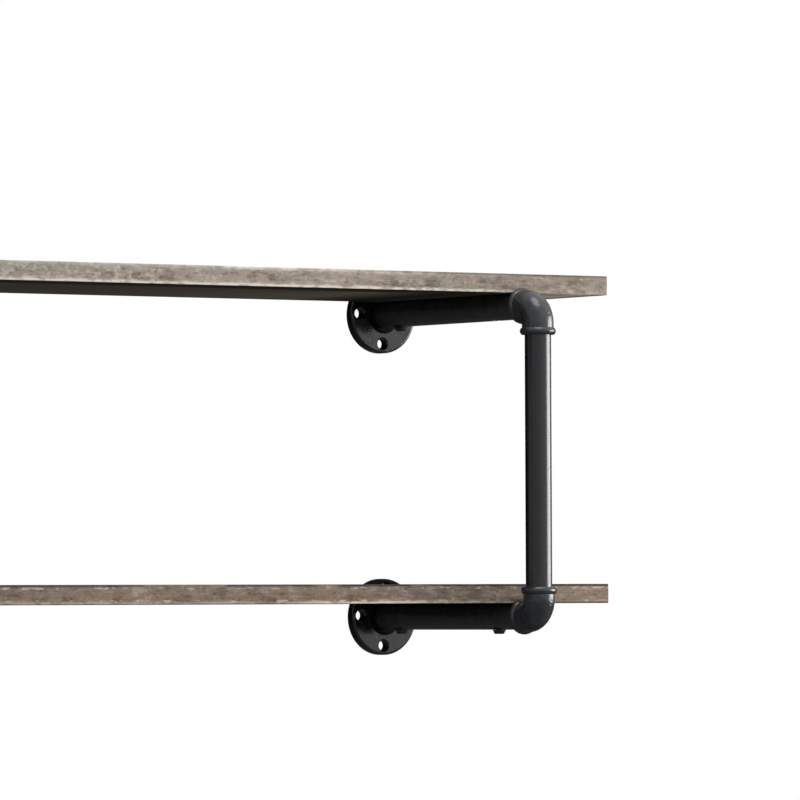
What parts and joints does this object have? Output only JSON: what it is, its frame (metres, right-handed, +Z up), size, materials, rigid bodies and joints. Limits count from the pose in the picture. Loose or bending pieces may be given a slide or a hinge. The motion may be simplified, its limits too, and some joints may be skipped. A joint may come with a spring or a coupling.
{
  "type": "wall shelf",
  "caption": "Wall shelf with rustic wood boards, one above the other, on black iron pipe brackets with elbows and round wall flanges.",
  "frame": {"origin": "centre of the back face of the upper wall flange of the right-hand bracket, in the wall plane, on the upper arm's axis", "axes": "+X along the wall to the right as seen from the room, +Y into the wall, +Z up; the shelf stands out towards -Y"},
  "size_m": [0.914, 0.2997, 0.382],
  "materials": {
    "board_wood": "weathered grey-brown wood, rough sawn, with paler worn edges",
    "pipe_paint": "satin black paint on steel pipe",
    "fitting_paint": "satin black paint on cast iron",
    "screw_black": "black-finished steel screw"
  },
  "bodies": {
    "root": {"upper_board": "board_wood", "lower_board": "board_wood", "right_upper_wall_flange": "fitting_paint", "right_upper_arm": "pipe_paint", "right_upper_elbow": "fitting_paint", "right_lower_wall_flange": "fitting_paint", "right_lower_arm": "pipe_paint", "right_lower_elbow": "fitting_paint", "right_upright": "pipe_paint", "left_upper_wall_flange": "fitting_paint", "left_upper_arm": "pipe_paint", "left_upper_elbow": "fitting_paint", "left_lower_wall_flange": "fitting_paint", "left_lower_arm": "pipe_paint", "left_lower_elbow": "fitting_paint", "left_upright": "pipe_paint", "upper_board_front_screws": "screw_black", "upper_board_rear_screws": "screw_black", "lower_board_front_screws": "screw_black", "lower_board_rear_screws": "screw_black"}
  },
  "joints": []
}
